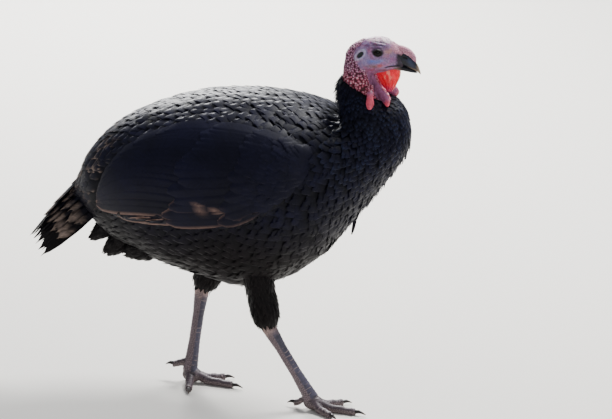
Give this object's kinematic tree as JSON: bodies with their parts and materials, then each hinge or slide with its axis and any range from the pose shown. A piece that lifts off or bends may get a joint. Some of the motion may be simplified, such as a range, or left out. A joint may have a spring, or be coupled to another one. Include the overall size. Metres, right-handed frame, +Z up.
{
  "type": "domestic turkey",
  "caption": "Still, life-size model of a black domestic turkey walking, with a bare pink head, a red dewlap and a folded tail",
  "frame": {"origin": "on the ground under the middle of the model's box", "axes": "+X ahead, where the bill points, +Y to the bird's left, +Z up"},
  "size_m": [0.6372, 0.2938, 0.6227],
  "materials": {
    "plumage": "black feathers with a dark blue sheen, browner on the wing edge, belly and tail",
    "skin": "bare pink and lilac-blue skin with small bumps",
    "wattle": "thin, bright red skin that lets light through",
    "horn": "dark horn with a pale tip",
    "eye": "dark brown, wet and glossy",
    "leg_scales": "grey-mauve scales with pale edges"
  },
  "bodies": {
    "root": {"torso": "plumage", "neck": "plumage", "wing_L": "plumage", "wing_R": "plumage", "tail": "plumage", "beard": "plumage", "throat": "skin", "head": "skin", "snood": "skin", "dewlap": "wattle", "bill_upper": "horn", "bill_lower": "horn", "eye_L": "eye", "eye_R": "eye", "thigh_L": "plumage", "shank_L": "leg_scales", "toe_L_hind": "leg_scales", "claw_L_hind": "horn", "toe_L_inner": "leg_scales", "claw_L_inner": "horn", "toe_L_middle": "leg_scales", "claw_L_middle": "horn", "toe_L_outer": "leg_scales", "claw_L_outer": "horn", "thigh_R": "plumage", "shank_R": "leg_scales", "toe_R_hind": "leg_scales", "claw_R_hind": "horn", "toe_R_inner": "leg_scales", "claw_R_inner": "horn", "toe_R_middle": "leg_scales", "claw_R_middle": "horn", "toe_R_outer": "leg_scales", "claw_R_outer": "horn"}
  },
  "joints": []
}
